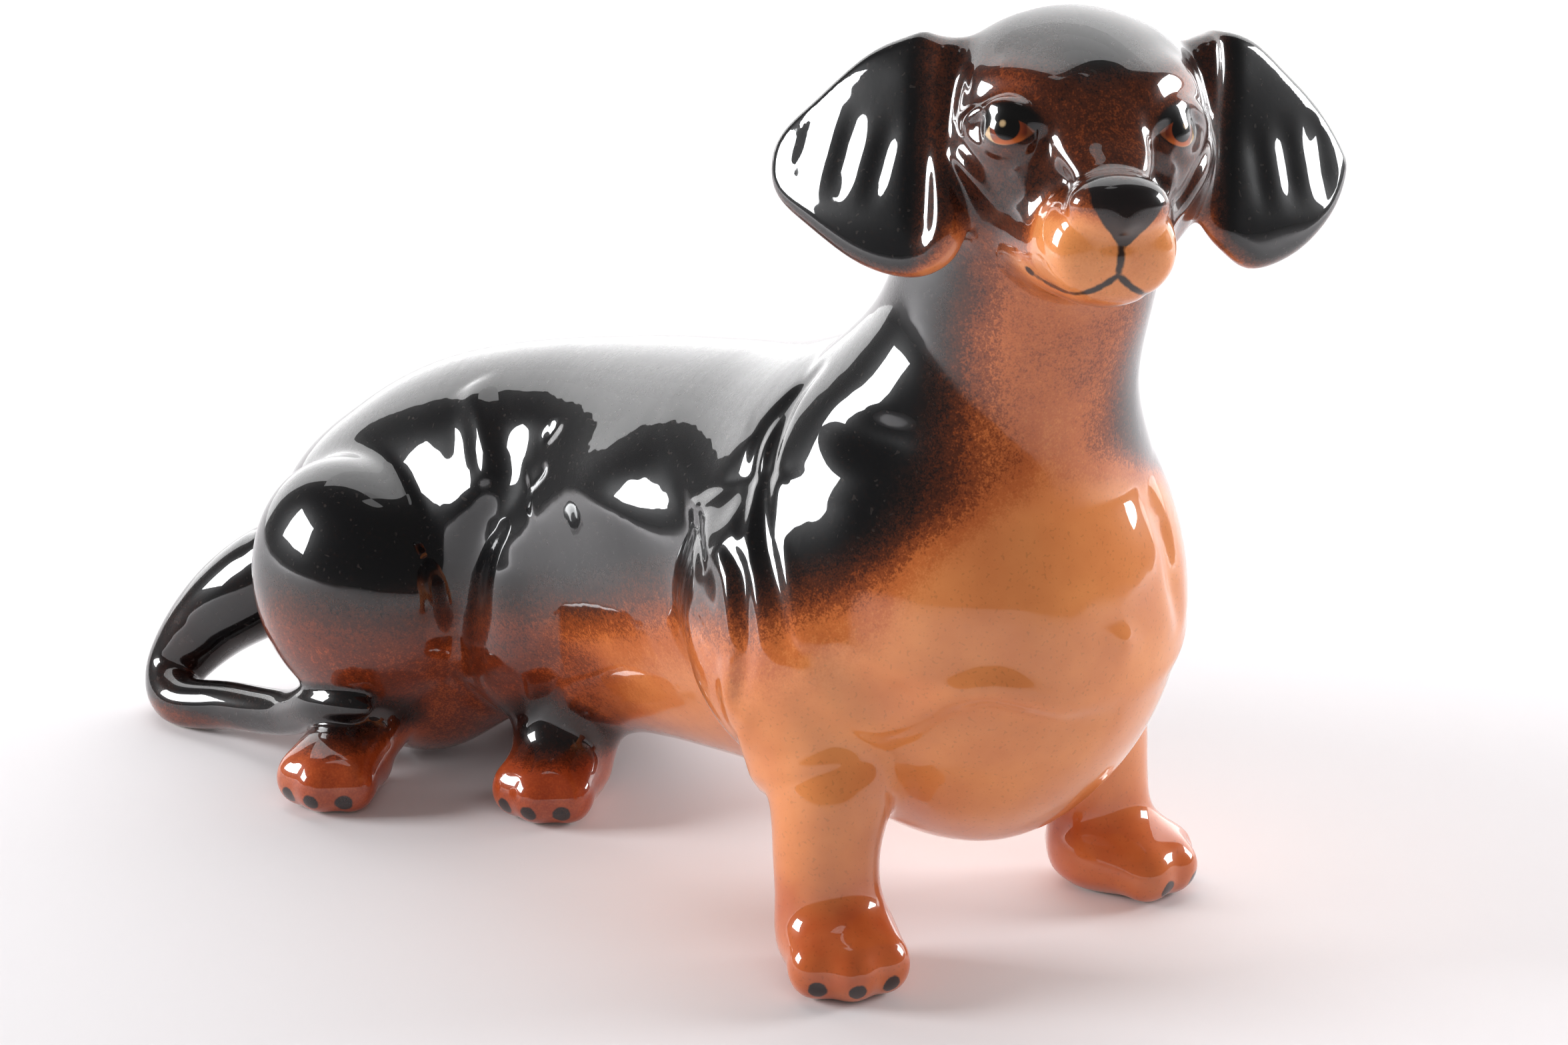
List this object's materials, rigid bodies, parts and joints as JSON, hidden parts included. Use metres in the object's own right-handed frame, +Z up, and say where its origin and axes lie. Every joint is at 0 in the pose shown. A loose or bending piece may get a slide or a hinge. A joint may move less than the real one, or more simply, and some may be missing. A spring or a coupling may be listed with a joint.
{
  "type": "ceramic dog figurine",
  "caption": "Glazed ceramic dachshund figurine on straight forelegs, hindquarters rolled to one side, head raised and turned, tail curled round on the floor.",
  "frame": {"origin": "middle of the outline on the floor, under the belly", "axes": "+X the way the dog's body faces, +Y its left side, +Z up from the floor"},
  "size_m": [0.1684, 0.0772, 0.1147],
  "materials": {
    "glaze_body": "gloss glaze, black airbrushed into tan",
    "glaze_head": "gloss glaze, black airbrushed into tan",
    "glaze_black": "gloss black glaze",
    "glaze_tan": "gloss tan glaze",
    "glaze_red_brown": "gloss red-brown glaze"
  },
  "bodies": {
    "root": {"body_casting": "glaze_body", "head_casting": "glaze_head", "ear_right": "glaze_black", "ear_left": "glaze_black", "foreleg_right": "glaze_tan", "foreleg_left": "glaze_tan", "hind_foot_right": "glaze_red_brown", "hind_foot_left": "glaze_red_brown", "tail": "glaze_black"}
  },
  "joints": []
}
